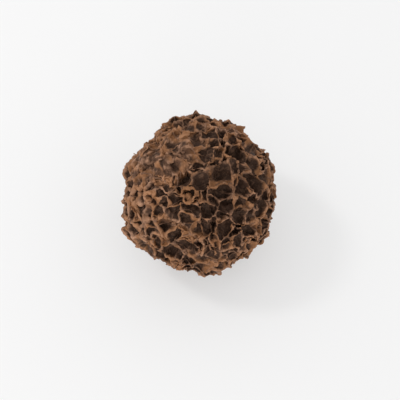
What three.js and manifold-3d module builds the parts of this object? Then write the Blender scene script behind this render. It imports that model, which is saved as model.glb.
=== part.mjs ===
// A hand-rolled chocolate truffle with a ridged coat: one solid. Millimetres, +Z up, standing on z = 0.
//
// While the coat was setting, the ball was rolled over a wire grid. That pulled the soft chocolate up into
// thin ridges that close round pits, with a small peak wherever ridges meet. One side was smeared nearly
// smooth, and the side next to it is torn open into the widest and deepest pits. The underside set flat on
// its tray.
//
// Places on the ball are given as a bearing, in degrees about +Z from +X, and a height, in degrees above the
// ball's middle.

import * as THREE from "three";
import { ConvexHull } from "three/addons/math/ConvexHull.js";
import { ImprovedNoise } from "three/addons/math/ImprovedNoise.js";
import { mergeVertices } from "three/addons/utils/BufferGeometryUtils.js";
import Module from "manifold-3d";

const { degToRad, lerp, seededRandom, smoothstep } = THREE.MathUtils;

// Driving dimensions
const HALF_WIDTH = 13.6; // along X, to the ridges
const HALF_DEPTH = 14.3; // along Y
const HALF_HEIGHT = 13.8; // from the middle to the top
const FOOT_DROP = 12.7; // from the middle down to the flat foot
const MEAN_RADIUS = (HALF_WIDTH + HALF_DEPTH + HALF_HEIGHT) / 3;

// Slow swellings and hollows of the whole ball
const SWELLINGS = [
  { bearing: 207, height: -15, spread: 15, rise: 1.1 }, // knob, low on the left
  { bearing: -79, height: -28, spread: 14, rise: 0.5 }, // low in front
  { bearing: 108, height: 29, spread: 16, rise: 0.5 }, // high at the back
  { bearing: -24, height: -15, spread: 12, rise: 0.5 }, // low on the right
  { bearing: 225, height: -21, spread: 10, rise: -0.8 }, // hollow beside the knob
  { bearing: 137, height: 21, spread: 13, rise: -0.6 }, // hollow at the back, left
  { bearing: -12, height: -7, spread: 9, rise: -0.8 }, // hollow above the right swelling
];

// Pits: the large ones are laid out first, and smaller ones fill what is left
const PIT_CLASSES = [
  { across: 4.0, tries: 18 },
  { across: 3.1, tries: 120 },
  { across: 2.4, tries: 900 },
  { across: 1.7, tries: 6000 },
];
const PIT_PACKING = 0.9; // least distance between two pits, as a share of their mean width
const PIT_SEED = 11;

// The foot of a pit's walls, as shares of the way from its ridges to its middle, and of its depth
const WALL_FOOT = { inward: 0.27, drop: 0.82 };
const SMEARED_WALL_FOOT = { inward: 0.55, drop: 0.4 };
const PIT_DEPTH = { least: 0.8, most: 1.8 };
const DEPTH_PER_WIDTH = 0.65; // a pit is no deeper than this share of its width
const SMEARED_DEPTH = 0.4;
const TORN_DEPTH_GAIN = 1.5;
const MIDDLE_WANDER = 0.2; // how far a pit's middle may lie off centre, as a share of its radius

// Ridges
const PEAK_RISE = 0.5; // the most that ridges rise where they meet
const RIDGE_WAVE = { rise: 0.35, waves: 5 }; // slow change of the ridges' height over the ball's radius
const RIDGE_BOW = 0.26; // the most that a ridge bows sideways, as a share of its length
const RIDGE_SAG = { least: 0.05, most: 0.35 }; // how far a ridge dips between its ends
const BROKEN_RIDGE = { share: 0.12, tornShare: 0.4, sag: 0.9 };
const SMEARED_LEVEL = -0.25;
const PULL = { reach: 0.8, waveLength: 7, shift: 0 }; // whole pits are stretched sideways
const LEAN = { reach: 0.5, waveLength: 6, shift: 7.9 }; // crests lean over
const NOISE_GAIN = 2; // brings the noise to about -1 to 1
const NOISE_SHIFTS = [17.3, 31.7, 53.1]; // keep the three parts of a drift apart

// Regions of the coat
const SMEARED_SIDE = { bearing: 175, height: 53, spread: 28, edge: 0.25, full: 0.75 };
const TORN_SIDE = { bearing: -55, height: 48, spread: 36, edge: 0.2, full: 0.7 };
const FOOT_FADE = { from: 0.8, to: 0.92 }; // the pits fade out over this share of the way down

// Points of chocolate drawn out of the coat, each at the nearest meeting of ridges
const SPIKES = [
  { bearing: 152, height: 15, rise: 0.9 },
  { bearing: 49, height: 27, rise: 0.8 },
  { bearing: 20, height: 10, rise: 0.9 },
  { bearing: -15, height: -9, rise: 0.9 },
  { bearing: 92, height: 31, rise: 0.5 },
  { bearing: -62, height: 62, rise: 0.7 },
];

const noise = new ImprovedNoise();

function direction({ bearing, height }) {
  const turn = degToRad(bearing);
  const climb = degToRad(height);
  return new THREE.Vector3(
    Math.cos(climb) * Math.cos(turn),
    Math.cos(climb) * Math.sin(turn),
    Math.sin(climb),
  );
}

// 1 at a place's middle, falling smoothly to 0 at about twice its spread
function nearness(region, toward) {
  const away = toward.angleTo(direction(region)) / degToRad(region.spread);
  return Math.exp(-away * away);
}

// 1 over a region, 0 outside it
function inside(region, toward) {
  return smoothstep(nearness(region, toward), region.edge, region.full);
}

function setFlat(toward) {
  return smoothstep(-toward.z, FOOT_FADE.from, FOOT_FADE.to);
}

// A smooth wandering of the point along the surface
function drift(point, { reach, waveLength, shift }) {
  const [x, y, z] = point.clone().divideScalar(waveLength).addScalar(shift).toArray();
  const field = new THREE.Vector3(
    noise.noise(x, y, z + NOISE_SHIFTS[0]),
    noise.noise(x + NOISE_SHIFTS[1], y, z),
    noise.noise(x, y + NOISE_SHIFTS[2], z),
  ).multiplyScalar(NOISE_GAIN * reach);
  const outward = point.clone().normalize();
  return field.addScaledVector(outward, -field.dot(outward));
}

// Distance from the ball's middle to the level of the ridges
function ballRadius(toward) {
  const ellipsoid = Math.hypot(
    toward.x / HALF_WIDTH,
    toward.y / HALF_DEPTH,
    toward.z / HALF_HEIGHT,
  );
  const swollen = SWELLINGS.reduce((sum, s) => sum + s.rise * nearness(s, toward), 0);
  return 1 / ellipsoid + swollen;
}

// A point of the coat, level millimetres above the ridges' mean level. The coat is stretched along the
// surface by one drift, and leans over by another times lean, from 0 at a pit's floor to 1 at a crest.
function coatPoint(toward, level, lean) {
  const point = toward.clone().multiplyScalar(ballRadius(toward) + level);
  const stretch = drift(point, PULL);
  const tilt = drift(point, LEAN).multiplyScalar(lean);
  return point.add(stretch).add(tilt);
}

// The pits' directions and widths, packed over the whole ball
function packPits() {
  seededRandom(PIT_SEED);
  const pits = [];
  for (const { across, tries } of PIT_CLASSES) {
    for (let k = 0; k < tries; k++) {
      const z = 2 * seededRandom() - 1;
      const turn = 2 * Math.PI * seededRandom();
      const toward = new THREE.Vector3().setFromCylindricalCoords(Math.sqrt(1 - z * z), turn, z);
      const clear = pits.every((pit) => {
        const least = (PIT_PACKING * (pit.across + across)) / 2;
        return pit.toward.angleTo(toward) * MEAN_RADIUS > least;
      });
      if (clear) pits.push({ toward, across });
    }
  }
  return pits;
}

// The net of ridges: each face of the hull round the weighted pit directions is one meeting of ridges, and
// the faces round a pit's own corner of the hull are the meetings round that pit, in order.
function netOf(pits) {
  const corners = new Map();
  for (const pit of pits) {
    const halfAngle = pit.across / 2 / MEAN_RADIUS;
    corners.set(pit.toward.clone().divideScalar(Math.cos(halfAngle)), pit);
  }
  const hull = new ConvexHull().setFromPoints([...corners.keys()]);
  const meetings = hull.faces.map((face) => face.normal.clone());
  const faceNumber = new Map(hull.faces.map((face, k) => [face, k]));
  const rings = new Map();
  for (const face of hull.faces) {
    let edge = face.edge;
    do {
      const pit = corners.get(edge.head().point);
      if (!rings.has(pit)) rings.set(pit, ringRound(edge, faceNumber));
      edge = edge.next;
    } while (edge !== face.edge);
  }
  return { meetings, rings };
}

function ringRound(start, faceNumber) {
  const ring = [];
  let edge = start;
  do {
    ring.unshift(faceNumber.get(edge.face));
    edge = edge.next.twin;
  } while (edge !== start);
  return ring;
}

// The level of the crest at each meeting of ridges
function crestLevels(meetings) {
  const levels = meetings.map((toward) => {
    const wave = RIDGE_WAVE.rise * noise.noise(...toward.clone().multiplyScalar(RIDGE_WAVE.waves));
    const peak = PEAK_RISE * seededRandom() ** 2;
    return lerp(wave + peak, SMEARED_LEVEL, inside(SMEARED_SIDE, toward)) * (1 - setFlat(toward));
  });
  for (const spike of SPIKES) {
    const toward = direction(spike);
    const angles = meetings.map((meeting) => meeting.angleTo(toward));
    levels[angles.indexOf(Math.min(...angles))] += spike.rise;
  }
  return levels;
}

function pitDepth(pit) {
  const open = lerp(PIT_DEPTH.least, PIT_DEPTH.most, seededRandom());
  const gain = lerp(1, TORN_DEPTH_GAIN, inside(TORN_SIDE, pit.toward));
  const deep = gain * Math.min(open, DEPTH_PER_WIDTH * pit.across);
  return lerp(deep, SMEARED_DEPTH, inside(SMEARED_SIDE, pit.toward)) * (1 - setFlat(pit.toward));
}

// The middle of a ring of directions, pushed a little off centre
function wanderingMiddle(ring) {
  const middle = ring.reduce((sum, toward) => sum.add(toward), new THREE.Vector3()).normalize();
  const radius = ring[0].distanceTo(middle);
  const push = new THREE.Vector3(seededRandom() - 0.5, seededRandom() - 0.5, seededRandom() - 0.5);
  return middle.addScaledVector(push.normalize(), MIDDLE_WANDER * radius).normalize();
}

// The point half way along a ridge, which bows sideways and sags; a broken ridge sags nearly to the floors
function ridgeMiddle(from, to) {
  const half = from.toward.clone().add(to.toward).normalize();
  const side = to.toward.clone().sub(from.toward).cross(half);
  const toward = half.addScaledVector(side, RIDGE_BOW * (2 * seededRandom() - 1)).normalize();
  const share = lerp(BROKEN_RIDGE.share, BROKEN_RIDGE.tornShare, inside(TORN_SIDE, toward));
  const broken = seededRandom() < share;
  const sag = broken ? BROKEN_RIDGE.sag : lerp(RIDGE_SAG.least, RIDGE_SAG.most, seededRandom());
  const flat = Math.max(setFlat(toward), inside(SMEARED_SIDE, toward));
  return { toward, level: (from.level + to.level) / 2 - sag * (1 - flat) };
}

// The coat as a closed mesh: each pit is a fan for its floor, inside a ring of walls that end at the crests
function coatMesh() {
  const { meetings, rings } = netOf(packPits());
  const levels = crestLevels(meetings);
  const points = [];
  const addPoint = ({ toward, level }, lean) => points.push(coatPoint(toward, level, lean)) - 1;
  const crests = meetings.map((toward, k) => ({ toward, level: levels[k] }));
  const crestPoints = crests.map((crest) => addPoint(crest, 1));

  const ridges = new Map();
  const ridgeBetween = (a, b) => {
    const name = [a, b].sort((m, n) => m - n).join();
    if (!ridges.has(name)) ridges.set(name, addPoint(ridgeMiddle(crests[a], crests[b]), 1));
    return ridges.get(name);
  };

  const triangles = [];
  for (const [pit, ring] of rings) {
    const middle = wanderingMiddle(ring.map((k) => meetings[k]));
    const depth = pitDepth(pit);
    const smear = inside(SMEARED_SIDE, pit.toward);
    const rim = ring.reduce((sum, k) => sum + levels[k], 0) / ring.length;
    const inward = lerp(WALL_FOOT.inward, SMEARED_WALL_FOOT.inward, smear);
    const drop = lerp(WALL_FOOT.drop, SMEARED_WALL_FOOT.drop, smear);
    const wallFoot = ring.map((k) => {
      const toward = meetings[k].clone().lerp(middle, inward).normalize();
      return addPoint({ toward, level: lerp(levels[k], rim, drop) - drop * depth }, 1 - drop);
    });
    const bottom = addPoint({ toward: middle, level: rim - depth }, 0);
    ring.forEach((k, i) => {
      const next = (i + 1) % ring.length;
      const ridge = ridgeBetween(k, ring[next]);
      triangles.push(crestPoints[k], ridge, wallFoot[i]);
      triangles.push(ridge, wallFoot[next], wallFoot[i]);
      triangles.push(ridge, crestPoints[ring[next]], wallFoot[next]);
      triangles.push(wallFoot[i], wallFoot[next], bottom);
    });
  }
  return { points, triangles };
}

function manifoldOf(wasm, vertProperties, triVerts) {
  return new wasm.Manifold(new wasm.Mesh({ numProp: 3, vertProperties, triVerts }));
}

// Everything above the flat foot
function aboveFoot(wasm) {
  const size = 4 * MEAN_RADIUS;
  const block = new THREE.BoxGeometry(size, size, size).translate(0, 0, size / 2 - FOOT_DROP);
  const merged = mergeVertices(block.deleteAttribute("normal").deleteAttribute("uv"));
  return manifoldOf(wasm, merged.attributes.position.array, new Uint32Array(merged.index.array));
}

function geometryOf(solid) {
  const { vertProperties, triVerts } = solid.getMesh();
  const geometry = new THREE.BufferGeometry();
  geometry.setAttribute("position", new THREE.BufferAttribute(vertProperties, 3));
  geometry.setIndex(new THREE.BufferAttribute(triVerts, 1));
  geometry.computeBoundingBox();
  return geometry;
}

const wasm = await Module();
wasm.setup();

const { points, triangles } = coatMesh();
const corners = Float32Array.from(points.flatMap((point) => point.toArray()));
const coat = manifoldOf(wasm, corners, Uint32Array.from(triangles));
const solid = coat.intersect(aboveFoot(wasm));
const geometry = geometryOf(solid);
const middle = geometry.boundingBox.getCenter(new THREE.Vector3());

const chocolate = new THREE.MeshStandardMaterial({ color: 0x5e4436, roughness: 0.6, metalness: 0 });
const truffle = new THREE.Mesh(geometry, chocolate);
truffle.name = "truffle";
truffle.position.set(-middle.x, -middle.y, FOOT_DROP);

const part = new THREE.Group();
part.add(truffle);

export default part;
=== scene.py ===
"""A hand-rolled chocolate truffle, on a pale table under soft light.

The ball was rolled over a wire grid while its coat was setting. The grid pulled the chocolate up into ridges
that close round dark pits; their darkness is painted into the colour as shade that deepens with depth, darker
still on the torn side. Cocoa left a pale bloom on the ridges and on the one side that was smeared smooth.
All sizes are in metres.
"""

import math
from random import Random

import bmesh
import bpy
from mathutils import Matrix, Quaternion, Vector
from mathutils.bvhtree import BVHTree
from mathutils.kdtree import KDTree


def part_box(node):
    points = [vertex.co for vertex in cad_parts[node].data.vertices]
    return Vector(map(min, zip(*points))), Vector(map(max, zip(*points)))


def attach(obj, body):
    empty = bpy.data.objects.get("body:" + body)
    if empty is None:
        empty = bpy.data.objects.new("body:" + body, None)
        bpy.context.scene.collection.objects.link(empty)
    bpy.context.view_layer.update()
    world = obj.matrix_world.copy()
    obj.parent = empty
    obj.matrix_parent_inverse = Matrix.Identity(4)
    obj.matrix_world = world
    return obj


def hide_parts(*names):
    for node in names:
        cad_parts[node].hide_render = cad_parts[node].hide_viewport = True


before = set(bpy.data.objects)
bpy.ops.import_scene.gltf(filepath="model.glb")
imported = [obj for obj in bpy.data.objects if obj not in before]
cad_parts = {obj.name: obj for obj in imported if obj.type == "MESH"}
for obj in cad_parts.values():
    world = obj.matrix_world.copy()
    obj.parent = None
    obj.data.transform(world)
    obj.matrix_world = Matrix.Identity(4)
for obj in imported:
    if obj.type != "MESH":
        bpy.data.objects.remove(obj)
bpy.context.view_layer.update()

MILLIMETRE = 0.001

# The ball, from the frame
LOWEST, HIGHEST = (Vector(corner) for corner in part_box("truffle"))
BALL_MIDDLE = (LOWEST + HIGHEST) / 2
FOOT_HEIGHT = 0.25 * MILLIMETRE  # what lies lower is the flat foot

# Coat
CREST_ANGLE = math.radians(28)  # an outward fold sharper than this is the crest of a ridge
CREST_CREASE = 0.4
FULL_WEIGHT = 0.99  # a weight above this counts as 1
DEEP = 0.8 * MILLIMETRE  # a pit this far below its ridges counts as fully deep
PIT_GAIN = 0.45 * MILLIMETRE  # how far a deep pit is pressed in past the frame's own depth
FOLD_DEPTH = 1.6 * MILLIMETRE
BEAD_EDGE = 0.5  # how far from a crest the bead along it ends, as a weight
BEAD_STEEPNESS = 1.6
BEAD_SWELL = 0.2 * MILLIMETRE
BEAD_THIN = 0.1
SHARPNESS_BLURS = 1
WEB_EDGE = 0.6  # the web reaches this far down the walls of its pits, as a weight
WEB_SWELL = 0.34 * MILLIMETRE
CRUMB_GRAIN = 0.35 * MILLIMETRE
CRUMB_HEIGHT = 0.22 * MILLIMETRE
NEAR_CRESTS = 6  # a place's depth is taken from this many points of the ridges round it
REACH_OUT = 3 * MILLIMETRE  # how far outside a place the search for the coat under it starts
LEVEL_POINTS = 40  # the level of the ridges round a place is taken from this many points of them

# The sides that the rolling left unlike the rest, in degrees
# loss and gain scale the painted shade in the pits: less on the smeared side, more on the torn side, where
# shade also paints the whole side darker
SMEARED_SIDE = {"bearing": 175, "height": 48, "edge": 55, "fade": 30, "loss": 0.4}
WEBBED_SIDE = {"bearing": -168, "height": 18, "edge": 56, "fade": 26}
TORN_SIDE = {"bearing": -58, "height": 52, "edge": 48, "fade": 30, "gain": 0.5, "shade": 0.3}

# Threads
THREAD_SEED = 5
THREAD_TRIES = 5000
THREAD_SPAN = (1.2 * MILLIMETRE, 3.4 * MILLIMETRE)
THREAD_DROP = 0.35 * MILLIMETRE  # the least depth of a pit under the middle of a thread
THREAD_SPACING = 1.5 * MILLIMETRE
THREAD_RADIUS = (0.10 * MILLIMETRE, 0.16 * MILLIMETRE)
THREAD_BOW = 0.22  # sideways, of its span
THREAD_HANG = (-1.6, 0.5)  # of the way from the floor up to a straight line; below 0 lies on the floor
THREAD_MIDDLE_WIDTH = 0.75  # of its radius
THREAD_END_WIDTH = 0.75  # added at its ends
THREAD_STEPS = 10
THREAD_DARKNESS = 0.9  # of the painted shade of the floor under it
THREAD_PALENESS = 0.62

# Ropes that the wires pulled over the coat: each wanders from its start over the tops of the ridges
ROPE_SEED = 3
ROPE_COUNT = 70
ROPE_LENGTH = (2.5 * MILLIMETRE, 8 * MILLIMETRE)
ROPE_STRIDE = 0.55 * MILLIMETRE
ROPE_CLEARANCE = 1.5 * MILLIMETRE  # ropes stay this far above the table
ROPE_TURN = 16  # the most that a rope turns at each stride, in degrees
ROPE_RADIUS = (0.10 * MILLIMETRE, 0.19 * MILLIMETRE)
ROPE_UNEVENNESS = 0.25
ROPE_PALENESS = 0.62
ROPE_WARMTH = 0.8
ROPE_LIFT = (-0.1 * MILLIMETRE, 0.15 * MILLIMETRE)
ROPE_HANG = 0.6  # of the way from the coat up to the ridges
LUMP_SHARE = 0.4  # of the ropes start in a rounded lump
LUMP_RADIUS = (0.30 * MILLIMETRE, 0.50 * MILLIMETRE)

# The curl, where one flake of the coat rolled over: a thick ring with lumps inside, and amber round it
CURL = {"bearing": -105, "height": 57, "radius": 1.4 * MILLIMETRE, "edge": 10, "fade": 6}
CURL_THICKNESS = 0.24 * MILLIMETRE
CURL_LIFT = 0.35 * MILLIMETRE
CURL_TURNS = 1.15
CURL_WOBBLE = 0.12  # of its radius, in as many waves to a turn as the next value says
CURL_WAVES = 3
CURL_CLOSING = 0.25  # how much nearer to its middle the ring ends than it starts, as a share of its radius
CURL_STEPS = 40
CURL_LUMPS = ((-0.1, -0.15, 0.42), (0.15, -0.5, 0.36))  # right, up and radius, as shares of the radius

# Camera and light
CAMERA_ELEVATION = 60
CAMERA_LENS = 100
FIELD_WIDTH = 72.6 * MILLIMETRE
AIM_LOW = 1.3 * MILLIMETRE  # the view's middle lies this far under the ball's
WALL_LIGHT = 1.7  # the studio is brighter round the sides than overhead
CEILING_LIGHT = 0.55
TABLE_GLOW = 0.385  # a light table, so that shadows stay faint
TABLE_SIZE = 4
TABLE_GREY = 0.5
KEY_PLACE = (-0.22, 0.05, 0.30)
KEY_SIZE = 0.06
KEY_ENERGY = 0.25
KEY_DIFFUSE = 0.2  # the key lamp mostly makes highlights
FILL_PLACE = (-0.04, -0.35, 0.05)
FILL_SIZE = 0.08
FILL_ENERGY = 0.25


def only(piece):
    """Selects one piece and makes it the active one."""
    bpy.ops.object.select_all(action="DESELECT")
    piece.select_set(True)
    bpy.context.view_layer.objects.active = piece


def start_edit(piece, select_mode="VERT"):
    only(piece)
    bpy.ops.object.mode_set(mode="EDIT")
    bpy.ops.mesh.select_mode(type=select_mode)


def end_edit():
    bpy.ops.object.mode_set(mode="OBJECT")


def finish_with(piece, kind, **settings):
    """Adds a modifier and applies it."""
    modifier = piece.modifiers.new(kind.lower(), kind)
    for name, value in settings.items():
        setattr(modifier, name, value)
    only(piece)
    bpy.ops.object.modifier_apply(modifier=modifier.name)


def texture(name, kind, **settings):
    made = bpy.data.textures.new(name, kind)
    for key, value in settings.items():
        setattr(made, key, value)
    return made


def select_edges(piece, numbers):
    """Leaves just these edges selected."""
    chosen = set(numbers)
    mesh = piece.data
    mesh.polygons.foreach_set("select", [False] * len(mesh.polygons))
    mesh.vertices.foreach_set("select", [False] * len(mesh.vertices))
    mesh.edges.foreach_set("select", [edge.index in chosen for edge in mesh.edges])


def crest_edges(piece):
    """The edges along the tops of the ridges."""
    mesh = bmesh.new()
    mesh.from_mesh(piece.data)
    crests = [
        edge.index
        for edge in mesh.edges
        if edge.is_convex
        and edge.calc_face_angle() > CREST_ANGLE
        and min(corner.co.z for corner in edge.verts) > FOOT_HEIGHT
    ]
    mesh.free()
    return crests


def weights(piece, group):
    """The weight of every vertex in a group, in order."""
    number = piece.vertex_groups[group].index
    found = []
    for vertex in piece.data.vertices:
        here = [entry.weight for entry in vertex.groups if entry.group == number]
        found.append(here[0] if here else 0.0)
    return found


def mark_knots(coat):
    """Puts the places where three or more ridges meet in the group knot; the crests are still selected."""
    meetings = [0] * len(coat.data.vertices)
    for edge in coat.data.edges:
        if edge.select:
            for number in edge.vertices:
                meetings[number] += 1
    knot = coat.vertex_groups.new(name="knot")
    knot.add([number for number, ridges in enumerate(meetings) if ridges > 2], 1, "REPLACE")


def weigh_pits(coat, crests):
    """Puts every vertex off the ridges in the group pit, with its depth below the ridges as its weight."""
    tree = KDTree(len(crests))
    for number in crests:
        tree.insert(coat.data.vertices[number].co, number)
    tree.balance()
    pit = coat.vertex_groups.new(name="pit")
    foot = coat.vertex_groups.new(name="foot")
    on_ridges = set(crests)
    for vertex in coat.data.vertices:
        if vertex.co.z < FOOT_HEIGHT:
            foot.add([vertex.index], 1, "REPLACE")
            continue
        if vertex.index in on_ridges:
            continue
        near = [(place - BALL_MIDDLE).length for place, _, _ in tree.find_n(vertex.co, NEAR_CRESTS)]
        depth = sum(near) / len(near) - (vertex.co - BALL_MIDDLE).length
        pit.add([vertex.index], min(max(depth / DEEP, 0), 1), "REPLACE")


def sharpness(piece):
    """How far each vertex stands out from its neighbours: 0 in a crease, a half on the flat, 1 on an edge."""
    mesh = bmesh.new()
    mesh.from_mesh(piece.data)
    mesh.normal_update()
    stands_out = []
    for vertex in mesh.verts:
        arms = [vertex.co - edge.other_vert(vertex).co for edge in vertex.link_edges]
        reach = sum(arm.length for arm in arms)
        stands_out.append(sum(arm.dot(vertex.normal) for arm in arms) / reach)
    for _ in range(SHARPNESS_BLURS):
        blurred = []
        for vertex in mesh.verts:
            near = [stands_out[edge.other_vert(vertex).index] for edge in vertex.link_edges]
            blurred.append((stands_out[vertex.index] + sum(near) / len(near)) / 2)
        stands_out = blurred
    mesh.free()
    return [min(max(0.5 + value, 0), 1) for value in stands_out]


def nearness(place, side):
    """How near a place is to the middle of one side of the ball: 1 there, and 0 past the side's edge."""
    angle = math.degrees((place - BALL_MIDDLE).angle(towards(side["bearing"], side["height"])))
    share = min(max((side["edge"] - angle) / side["fade"], 0), 1)
    return share * share * (3 - 2 * share)


def warmth(piece, base):
    """How amber the chocolate is at each vertex, over what it already has."""
    warm = []
    for vertex, own in zip(piece.data.vertices, base):
        warm.append(own + nearness(vertex.co, CURL))
    return warm


def painted_shade(coat):
    """How dark each vertex is painted, as painted shade: its depth below the ridges, less on the smeared
    side, and more on the torn one, where the whole side gets more shade too.
    """
    depths = weights(coat, "pit")
    for vertex in coat.data.vertices:
        gain = TORN_SIDE["gain"] * nearness(vertex.co, TORN_SIDE)
        loss = SMEARED_SIDE["loss"] * nearness(vertex.co, SMEARED_SIDE)
        depths[vertex.index] = depths[vertex.index] * (1 + gain - loss) + gain * TORN_SIDE["shade"]
    return depths


def keep_as_attribute(piece, name, values):
    """Lets a material read a number at every vertex."""
    attribute = piece.data.attributes.new(name, "FLOAT", "POINT")
    attribute.data.foreach_set("value", values)


def truffle_coat():
    """The whole ball: the frame's net of ridges, with its crests marked and creased and its pits weighed, to
    be softened and made irregular later.
    """
    coat = bpy.data.objects.new("truffle_coat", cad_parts["truffle"].data.copy())
    bpy.context.scene.collection.objects.link(coat)
    start_edit(coat)
    bpy.ops.mesh.select_all(action="SELECT")
    bpy.ops.mesh.remove_doubles(threshold=0.001 * MILLIMETRE)
    end_edit()

    select_edges(coat, crest_edges(coat))
    start_edit(coat, "EDGE")
    bpy.ops.mesh.mark_seam(clear=False)
    bpy.ops.transform.edge_crease(value=CREST_CREASE)
    coat.vertex_groups.new(name="crest")
    bpy.ops.object.vertex_group_assign()
    end_edit()
    mark_knots(coat)
    weigh_pits(coat, [number for number, weight in enumerate(weights(coat, "crest")) if weight])
    start_edit(coat)
    bpy.ops.mesh.select_all(action="SELECT")
    bpy.ops.mesh.tris_convert_to_quads(face_threshold=math.pi, shape_threshold=math.pi, seam=True)
    bpy.ops.mesh.mark_seam(clear=True)
    end_edit()
    return coat


def shape_coat(coat):
    finish_with(coat, "SUBSURF", levels=1, render_levels=1)
    finish_with(coat, "DISPLACE", vertex_group="pit", strength=-PIT_GAIN, mid_level=0)
    displace_sideways(coat, "wander", grain=2.0, reach=2.1)
    finish_with(coat, "SUBSURF", levels=1, render_levels=1)
    press_folds(coat)
    bead_ridges(coat)
    widen_webs(coat)
    displace_sideways(coat, "wrinkle", grain=0.8, reach=0.6)
    roughen(coat)
    flatten_foot(coat)
    only(coat)
    bpy.ops.object.shade_smooth()
    keep_as_attribute(coat, "warm", warmth(coat, weights(coat, "knot")))
    # hollow holds each vertex's depth below the ridges, which the material paints as shade
    keep_as_attribute(coat, "hollow", painted_shade(coat))
    keep_as_attribute(coat, "raised", sharpness(coat))


def press_folds(coat):
    """Lower ridges inside the pits: the floors sink, except along the borders of a cell pattern."""
    folds = texture("folds", "VORONOI", noise_scale=1.1 * MILLIMETRE, weight_1=-1, weight_2=1)
    finish_with(coat, "DISPLACE", vertex_group="pit", texture=folds, strength=-FOLD_DEPTH, mid_level=0.1)


def bead_ridges(coat):
    """Rounds the edge of every ridge into a bead, thicker and thinner along its way."""
    bead = coat.vertex_groups.new(name="bead")
    for number, weight in enumerate(weights(coat, "crest")):
        share = max((weight - BEAD_EDGE) / (1 - BEAD_EDGE), 0) * BEAD_STEEPNESS
        bead.add([number], min(share, 1), "REPLACE")
    swell = texture("swell", "CLOUDS", noise_scale=0.9 * MILLIMETRE, noise_depth=1)
    finish_with(
        coat, "DISPLACE", vertex_group="bead", texture=swell, strength=BEAD_SWELL, mid_level=BEAD_THIN
    )


def widen_webs(coat):
    """On one side the ridges ran together into wide webs between small pits."""
    web = coat.vertex_groups.new(name="web")
    crest = weights(coat, "crest")
    for vertex in coat.data.vertices:
        share = min(crest[vertex.index] / WEB_EDGE, 1)
        web.add([vertex.index], share * nearness(vertex.co, WEBBED_SIDE), "REPLACE")
    lumpy = texture("lumpy", "CLOUDS", noise_scale=2.4 * MILLIMETRE, noise_depth=0)
    finish_with(coat, "DISPLACE", vertex_group="web", texture=lumpy, strength=WEB_SWELL, mid_level=0)


def roughen(piece):
    """A crumbly surface, finer than the ridges."""
    crumbs = texture("crumbs", "CLOUDS", noise_scale=CRUMB_GRAIN, noise_depth=2)
    finish_with(piece, "DISPLACE", texture=crumbs, strength=CRUMB_HEIGHT, mid_level=0.5)


def flatten_foot(coat):
    """Brings the foot, and all that hangs lower, up or down to the table."""
    foot = weights(coat, "foot")
    start_edit(coat)
    bpy.ops.mesh.select_all(action="DESELECT")
    end_edit()
    for vertex in coat.data.vertices:
        vertex.select = vertex.co.z < 0 or foot[vertex.index] > FULL_WEIGHT
    start_edit(coat)
    bpy.ops.transform.resize(value=(1, 1, 0), center_override=(0, 0, 0))
    end_edit()


def displace_sideways(coat, name, grain, reach):
    """Wanders every point of the coat by a smooth noise; grain and reach are in millimetres."""
    noise = texture(
        name, "CLOUDS", noise_scale=grain * MILLIMETRE, noise_depth=1, cloud_type="COLOR"
    )
    finish_with(
        coat,
        "DISPLACE",
        texture=noise,
        direction="RGB_TO_XYZ",
        strength=reach * MILLIMETRE,
        mid_level=0.5,
    )


class Skin:
    """The coat's surface, to lay threads and ropes on."""

    def __init__(self, coat):
        places = [vertex.co for vertex in coat.data.vertices]
        self.tree = BVHTree.FromPolygons(places, [face.vertices for face in coat.data.polygons])
        ridge = weights(coat, "crest")
        self.crests = [place.copy() for place, weight in zip(places, ridge) if weight > FULL_WEIGHT]
        self.near_crests = KDTree(len(self.crests))
        for number, place in enumerate(self.crests):
            self.near_crests.insert(place, number)
        self.near_crests.balance()

    def under(self, place):
        """The outermost point of the coat between a place and the middle of the ball."""
        inward = (BALL_MIDDLE - place).normalized()
        hit = self.tree.ray_cast(place - inward * REACH_OUT, inward)[0]
        return hit if hit else place


def eased(path, rounds):
    """Takes the corners out of a path, with its ends kept."""
    for _ in range(rounds):
        middle = [(path[i - 1] + path[i] * 2 + path[i + 1]) / 4 for i in range(1, len(path) - 1)]
        path = [path[0], *middle, path[-1]]
    return path


def thread_path(skin, start, end, bow, hang):
    """A path from ridge to ridge across one pit, or None where another ridge is in the way."""
    span = end - start
    sideways = span.cross((start + end) / 2 - BALL_MIDDLE).normalized() * span.length * bow
    path = []
    for step in range(THREAD_STEPS + 1):
        along = step / THREAD_STEPS
        straight = start + span * along + sideways * math.sin(math.pi * along)
        floor = skin.under(straight)
        drop = (straight - BALL_MIDDLE).length - (floor - BALL_MIDDLE).length
        if 1 < step < THREAD_STEPS - 1 and drop < 0:
            return None
        if step == THREAD_STEPS // 2 and drop < THREAD_DROP:
            return None
        path.append(floor.lerp(straight, hang) if 0 < step < THREAD_STEPS else straight)
    return eased(path, 1)


def random_threads(skin):
    """Threads laid across the pits, no two of them too near each other."""
    random = Random(THREAD_SEED)
    threads = []
    middles = []
    for _ in range(THREAD_TRIES):
        start = random.choice(skin.crests)
        in_reach = skin.near_crests.find_range(start, THREAD_SPAN[1])
        end = random.choice([place for place, _, gap in in_reach if gap > THREAD_SPAN[0]])
        bow = random.uniform(-THREAD_BOW, THREAD_BOW)
        hang = max(random.uniform(*THREAD_HANG), 0)
        radius = random.uniform(*THREAD_RADIUS)
        path = thread_path(skin, start, end, bow, hang)
        if path is None or min(start.z, end.z) < THREAD_SPAN[1]:
            continue
        middle = path[THREAD_STEPS // 2]
        if any((middle - other).length < THREAD_SPACING for other in middles):
            continue
        middles.append(middle)
        threads.append([(place, radius * thinning(i / THREAD_STEPS)) for i, place in enumerate(path)])
    return threads


def thinning(along):
    """A thread's width along its length: widest at its ends."""
    return THREAD_MIDDLE_WIDTH + THREAD_END_WIDTH * (2 * along - 1) ** 4


def towards(bearing, height):
    """The direction from the ball's middle at a bearing and a height in degrees."""
    turn, climb = math.radians(bearing), math.radians(height)
    return Vector((math.cos(climb) * math.cos(turn), math.cos(climb) * math.sin(turn), math.sin(climb)))


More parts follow.
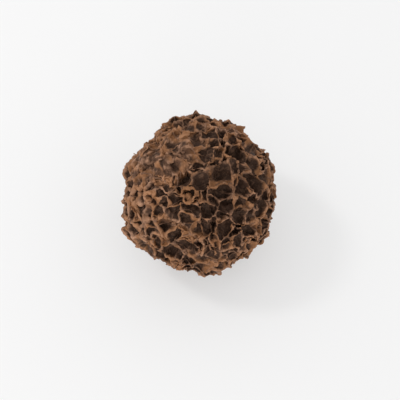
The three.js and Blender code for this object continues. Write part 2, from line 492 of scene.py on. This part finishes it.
def level(skin, place, lift):
    """Moves a place out or in until it lies so many metres over the ridges round it."""
    near = [(crest - BALL_MIDDLE).length for crest, _, _ in skin.near_crests.find_n(place, LEVEL_POINTS)]
    return BALL_MIDDLE + (place - BALL_MIDDLE).normalized() * (sum(near) / len(near) + lift)


def rope(skin, random):
    """A rope that wanders over the ridges, with its ends let down into the coat."""
    place = random.choice(skin.crests)
    outward = (place - BALL_MIDDLE).normalized()
    heading = outward.orthogonal().normalized()
    heading.rotate(Quaternion(outward, random.uniform(0, 2 * math.pi)))
    lift = random.uniform(*ROPE_LIFT)
    path = []
    for _ in range(round(random.uniform(*ROPE_LENGTH) / ROPE_STRIDE)):
        over = level(skin, place, lift)
        path.append(skin.under(over).lerp(over, ROPE_HANG))
        outward = (place - BALL_MIDDLE).normalized()
        heading.rotate(Quaternion(outward, math.radians(random.uniform(-ROPE_TURN, ROPE_TURN))))
        heading = (heading - outward * heading.dot(outward)).normalized()
        place = place + heading * ROPE_STRIDE
    path = eased(path, 2)
    path[0] = skin.under(path[0])
    path[-1] = skin.under(path[-1])
    radius = random.uniform(*ROPE_RADIUS)
    return [(place, radius * random.uniform(1 - ROPE_UNEVENNESS, 1 + ROPE_UNEVENNESS)) for place in path]


def random_ropes(skin, random):
    """The ropes, without those that run low enough to touch the table."""
    laid = [rope(skin, random) for _ in range(ROPE_COUNT)]
    return [points for points in laid if min(place.z for place, _ in points) > ROPE_CLEARANCE]


def beside_curl(skin, right, up, lift):
    """A place on the curl, right and up of its middle as shares of its radius."""
    outward = towards(CURL["bearing"], CURL["height"])
    across = Vector((0, 0, 1)).cross(outward).normalized()
    climb = outward.cross(across)
    around = BALL_MIDDLE + outward * (HIGHEST.z - BALL_MIDDLE.z)
    return level(skin, around + (across * right + climb * up) * CURL["radius"], lift)


def curl(skin, random):
    """The ring of the curl, a little more than one turn of an uneven spiral."""
    ring = []
    for step in range(CURL_STEPS + 1):
        along = step / CURL_STEPS
        turn = 2 * math.pi * CURL_TURNS * along
        reach = 1 + CURL_WOBBLE * math.sin(CURL_WAVES * turn) - CURL_CLOSING * along
        place = beside_curl(skin, reach * math.cos(turn), reach * math.sin(turn), CURL_LIFT)
        ring.append((place, CURL_THICKNESS * random.uniform(1 - ROPE_UNEVENNESS, 1 + ROPE_UNEVENNESS)))
    return ring


def rounded_lumps(skin, laid, random):
    """Where each lump lies and its radius: at the start of some ropes, and inside the curl."""
    lumps = []
    for points in laid:
        if random.random() < LUMP_SHARE:
            lumps.append((points[0][0], random.uniform(*LUMP_RADIUS)))
    for right, up, radius in CURL_LUMPS:
        lumps.append((beside_curl(skin, right, up, -CURL_LIFT), radius * CURL["radius"]))
    return lumps


def add_lumps(piece, lumps):
    """Rounded lumps on the ropes, joined to them as one piece."""
    made = []
    for place, radius in lumps:
        bpy.ops.object.select_all(action="DESELECT")
        bpy.ops.mesh.primitive_ico_sphere_add(subdivisions=3, radius=radius, location=place)
        bpy.ops.object.transform_apply(location=True, rotation=False, scale=False)
        bpy.ops.object.shade_smooth()
        made.append(bpy.context.object)
    only(piece)
    for lump in made:
        lump.select_set(True)
    bpy.ops.object.join()


def threads_piece(name, threads):
    """Makes tubes of the threads, as one closed mesh each."""
    curve = bpy.data.curves.new(name, "CURVE")
    curve.dimensions = "3D"
    curve.bevel_depth = 1
    curve.bevel_resolution = 1
    curve.use_fill_caps = True
    for thread in threads:
        spline = curve.splines.new("POLY")
        spline.points.add(len(thread) - 1)
        for point, (place, radius) in zip(spline.points, thread):
            point.co = (*place, 1)
            point.radius = radius
    piece = bpy.data.objects.new(name, curve)
    bpy.context.scene.collection.objects.link(piece)
    only(piece)
    bpy.ops.object.convert(target="MESH")
    start_edit(piece)
    bpy.ops.mesh.select_all(action="SELECT")
    bpy.ops.mesh.remove_doubles(threshold=0.001 * MILLIMETRE)
    bpy.ops.mesh.normals_make_consistent(inside=False)
    end_edit()
    bpy.ops.object.shade_smooth()
    return piece


def shape_threads(threads, coat):
    """Makes the threads uneven, gives them the painted shade of the coat where they lie, and colours them as
    edges.
    """
    displace_sideways(threads, "quiver", grain=0.6, reach=0.45)
    roughen(threads)
    tree = KDTree(len(coat.data.vertices))
    for vertex in coat.data.vertices:
        tree.insert(vertex.co, vertex.index)
    tree.balance()
    hollow = coat.data.attributes["hollow"].data
    depths = [hollow[tree.find(vertex.co)[1]].value for vertex in threads.data.vertices]
    keep_as_attribute(threads, "hollow", [depth * THREAD_DARKNESS for depth in depths])
    keep_as_attribute(threads, "raised", [THREAD_PALENESS] * len(depths))


def shape_ropes(ropes, lumps):
    """Makes the ropes as uneven as the ridges, adds their lumps, and colours both pale, with painted shade on
    the torn side.
    """
    finish_with(ropes, "SUBSURF", levels=1, render_levels=1)
    displace_sideways(ropes, "ripple", grain=0.7, reach=0.7)
    add_lumps(ropes, lumps)
    displace_sideways(ropes, "dent", grain=0.6, reach=0.45)
    roughen(ropes)
    torn_shade = TORN_SIDE["gain"] * TORN_SIDE["shade"]
    shades = [torn_shade * nearness(vertex.co, TORN_SIDE) for vertex in ropes.data.vertices]
    keep_as_attribute(ropes, "hollow", shades)
    keep_as_attribute(ropes, "raised", [ROPE_PALENESS] * len(ropes.data.vertices))
    keep_as_attribute(ropes, "warm", warmth(ropes, [ROPE_WARMTH] * len(ropes.data.vertices)))


class Recipe:
    """A material's nodes, added and wired in one call each."""

    def __init__(self, name):
        self.material = bpy.data.materials.new(name)
        self.material.use_nodes = True
        self.nodes = self.material.node_tree.nodes
        self.links = self.material.node_tree.links
        self.shader = self.nodes["Principled BSDF"]

    def add(self, kind, inputs=None, **settings):
        node = self.nodes.new("ShaderNode" + kind)
        for name, value in settings.items():
            setattr(node, name, value)
        for name, value in (inputs or {}).items():
            self.feed(node.inputs[name], value)
        return node

    def feed(self, socket, value):
        """Sets a socket, or links it where the value is another node's output."""
        if isinstance(value, bpy.types.NodeSocket):
            self.links.new(value, socket)
        else:
            socket.default_value = value

    def attribute(self, name):
        return self.add("Attribute", attribute_name=name).outputs["Fac"]

    def noise(self, place, grain, detail=2.0, roughness=0.5, distortion=0.0):
        """A noise from 0 to 1, with a grain given in millimetres."""
        settings = {"Vector": place, "Scale": 1 / (grain * MILLIMETRE)}
        settings.update({"Detail": detail, "Roughness": roughness, "Distortion": distortion})
        return self.add("TexNoise", settings).outputs["Fac"]

    def between(self, value, low, high, to_low=0.0, to_high=1.0):
        """Moves a value from one range to another, and holds it there."""
        ranges = {"Value": value, "From Min": low, "From Max": high}
        ranges.update({"To Min": to_low, "To Max": to_high})
        return self.add("MapRange", ranges).outputs["Result"]

    def math(self, operation, first, second):
        return self.add("Math", {0: first, 1: second}, operation=operation).outputs["Value"]

    def blend(self, amount, first, second):
        """Goes from the first colour to the second as amount goes from 0 to 1."""
        node = self.add("Mix", data_type="RGBA")
        self.feed(node.inputs["Factor"], amount)
        self.feed(node.inputs[6], first)
        self.feed(node.inputs[7], second)
        return node.outputs[2]

    def ramp(self, value, stops):
        node = self.add("ValToRGB", {"Fac": value})
        elements = node.color_ramp.elements
        while len(elements) < len(stops):
            elements.new(0.5)
        for element, (position, colour) in zip(elements, stops):
            element.position = position
            element.color = (*colour, 1)
        return node.outputs["Color"]


AMBER = (0.33, 0.145, 0.058, 1)
AMBER_STRENGTH = 0.55
SMEAR = (0.150, 0.082, 0.052, 1)  # thin chocolate drawn over the floors of the pits
SMEAR_STRENGTH = 0.6
BARE_STRENGTH = 0.6  # how far the edges lose their dust where they are bare
# Chocolate, from the level of the ridges down to the floor of a deep pit, growing darker with depth as
# painted shade
WALL_COLOURS_AND_SHADE = (
    (0.12, (0.106, 0.054, 0.033)),
    (0.22, (0.064, 0.0335, 0.0210)),
    (0.40, (0.042, 0.0226, 0.0150)),
    (0.85, (0.041, 0.0222, 0.0150)),
)
# The same on its edges and folds, where it is thin and dusty: pale with dust near the ridges, and darker with
# depth as painted shade
EDGE_DUST_AND_SHADE = (
    (0.10, (0.400, 0.222, 0.139)),
    (0.38, (0.215, 0.111, 0.066)),
    (0.85, (0.108, 0.058, 0.036)),
)


def chocolate():
    recipe = Recipe("chocolate")
    place = recipe.add("TexCoord").outputs["Object"]
    hollow = recipe.attribute("hollow")
    raised = recipe.attribute("raised")

    # The colours darken with depth as painted shade, along a wandering line, and change on every edge and
    # fold
    wander = recipe.between(recipe.noise(place, 1.6), 0.3, 0.7, 0.0, 0.2)
    mottle = recipe.between(recipe.noise(place, 0.35, detail=4.0), 0.35, 0.65, -0.12, 0.12)
    depth = recipe.math("ADD", hollow, recipe.math("ADD", wander, mottle))
    walls = recipe.ramp(depth, WALL_COLOURS_AND_SHADE)
    smears = recipe.noise(place, 0.9, detail=5.0, roughness=0.6, distortion=1.6)
    walls = recipe.blend(recipe.between(smears, 0.52, 0.66, 0.0, SMEAR_STRENGTH), walls, SMEAR)
    edges = recipe.ramp(depth, EDGE_DUST_AND_SHADE)
    bare = recipe.noise(place, 2.2, detail=3.0)
    edges = recipe.blend(recipe.between(bare, 0.44, 0.62, 0.0, BARE_STRENGTH), edges, walls)
    colour = recipe.blend(recipe.between(raised, 0.53, 0.72), walls, edges)

    # Amber where the chocolate is thin: where ridges meet, and in patches along them
    warm = recipe.attribute("warm")
    patches = recipe.math("ADD", recipe.noise(place, 3.0), recipe.math("MULTIPLY", warm, 0.25))
    high = recipe.between(hollow, 0.4, 0.1, 0.0, AMBER_STRENGTH)
    amber = recipe.math("MULTIPLY", recipe.between(patches, 0.56, 0.78), high)
    colour = recipe.blend(amber, colour, AMBER)

    recipe.feed(recipe.shader.inputs["Base Color"], colour)
    sheen = recipe.between(hollow, 0.1, 0.7, 0.55, 0.32)
    uneven = recipe.between(recipe.noise(place, 0.7), 0.3, 0.7, -0.08, 0.08)
    recipe.feed(recipe.shader.inputs["Roughness"], recipe.math("ADD", sheen, uneven))
    recipe.shader.inputs["Specular IOR Level"].default_value = 0.08
    recipe.shader.inputs["Specular Tint"].default_value = (1.0, 0.8, 0.66, 1)

    # Cocoa grain over shallow unevenness
    grain = recipe.noise(place, 0.14, detail=3.0, roughness=0.6)
    lumps = recipe.noise(place, 0.4, detail=3.0)
    bumps = recipe.add("Bump", {"Height": lumps, "Distance": 0.12 * MILLIMETRE, "Strength": 0.8})
    fine = {"Height": grain, "Distance": 0.04 * MILLIMETRE, "Strength": 0.7}
    fine["Normal"] = bumps.outputs["Normal"]
    recipe.feed(recipe.shader.inputs["Normal"], recipe.add("Bump", fine).outputs["Normal"])
    return recipe.material


def table_top():
    """The pale table, lit a little from below."""
    bpy.ops.object.select_all(action="DESELECT")
    bpy.ops.mesh.primitive_plane_add(size=TABLE_SIZE)
    table = bpy.context.object
    table.name = "table_top"
    material = bpy.data.materials.new("pale_table")
    material.use_nodes = True
    shader = material.node_tree.nodes["Principled BSDF"]
    shader.inputs["Base Color"].default_value = (TABLE_GREY, TABLE_GREY, TABLE_GREY, 1)
    shader.inputs["Roughness"].default_value = 1
    shader.inputs["Specular IOR Level"].default_value = 0
    shader.inputs["Emission Color"].default_value = (1, 1, 1, 1)
    shader.inputs["Emission Strength"].default_value = TABLE_GLOW
    table.data.materials.append(material)


def camera():
    made = bpy.data.objects.new("camera", bpy.data.cameras.new("camera"))
    bpy.context.scene.collection.objects.link(made)
    bpy.context.scene.camera = made
    made.data.lens = CAMERA_LENS
    made.data.clip_start = MILLIMETRE
    climb = math.radians(CAMERA_ELEVATION)
    back = Vector((0, -math.cos(climb), math.sin(climb)))
    down = Vector((0, -math.sin(climb), -math.cos(climb)))
    distance = FIELD_WIDTH * CAMERA_LENS / made.data.sensor_width
    made.location = BALL_MIDDLE + back * distance + down * AIM_LOW
    made.rotation_euler = (math.radians(90 - CAMERA_ELEVATION), 0, 0)


def lights():
    world = bpy.data.worlds.new("studio")
    bpy.context.scene.world = world
    world.use_nodes = True
    nodes = world.node_tree.nodes
    links = world.node_tree.links
    background = nodes["Background"]
    background.inputs["Color"].default_value = (1, 1, 1, 1)
    direction = nodes.new("ShaderNodeTexCoord")
    split = nodes.new("ShaderNodeSeparateXYZ")
    falloff = nodes.new("ShaderNodeMapRange")
    falloff.inputs["To Min"].default_value = WALL_LIGHT
    falloff.inputs["To Max"].default_value = CEILING_LIGHT
    links.new(direction.outputs["Generated"], split.inputs["Vector"])
    links.new(split.outputs["Z"], falloff.inputs["Value"])
    links.new(falloff.outputs["Result"], background.inputs["Strength"])
    key = area_lamp("key", KEY_PLACE, KEY_SIZE, KEY_ENERGY)
    key.diffuse_factor = KEY_DIFFUSE
    fill = area_lamp("fill", FILL_PLACE, FILL_SIZE, FILL_ENERGY)
    fill.specular_factor = 0


def area_lamp(name, place, size, energy):
    """A square lamp turned to the ball."""
    lamp = bpy.data.objects.new(name, bpy.data.lights.new(name, "AREA"))
    bpy.context.scene.collection.objects.link(lamp)
    lamp.data.size = size
    lamp.data.energy = energy
    lamp.location = place
    aim = BALL_MIDDLE - lamp.location
    lamp.rotation_euler = aim.to_track_quat("-Z", "Y").to_euler()
    return lamp.data


coat = truffle_coat()
shape_coat(coat)
skin = Skin(coat)
threads = threads_piece("truffle_threads", random_threads(skin))
shape_threads(threads, coat)
rope_random = Random(ROPE_SEED)
laid_ropes = random_ropes(skin, rope_random)
ropes = threads_piece("truffle_ropes", [*laid_ropes, curl(skin, rope_random)])
shape_ropes(ropes, rounded_lumps(skin, laid_ropes, rope_random))
finish = chocolate()
for piece in (coat, threads, ropes):
    piece.data.materials.clear()
    piece.data.materials.append(finish)
    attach(piece, "root")
    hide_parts("truffle")

table_top()
camera()
lights()
bpy.context.scene.view_settings.view_transform = "Standard"
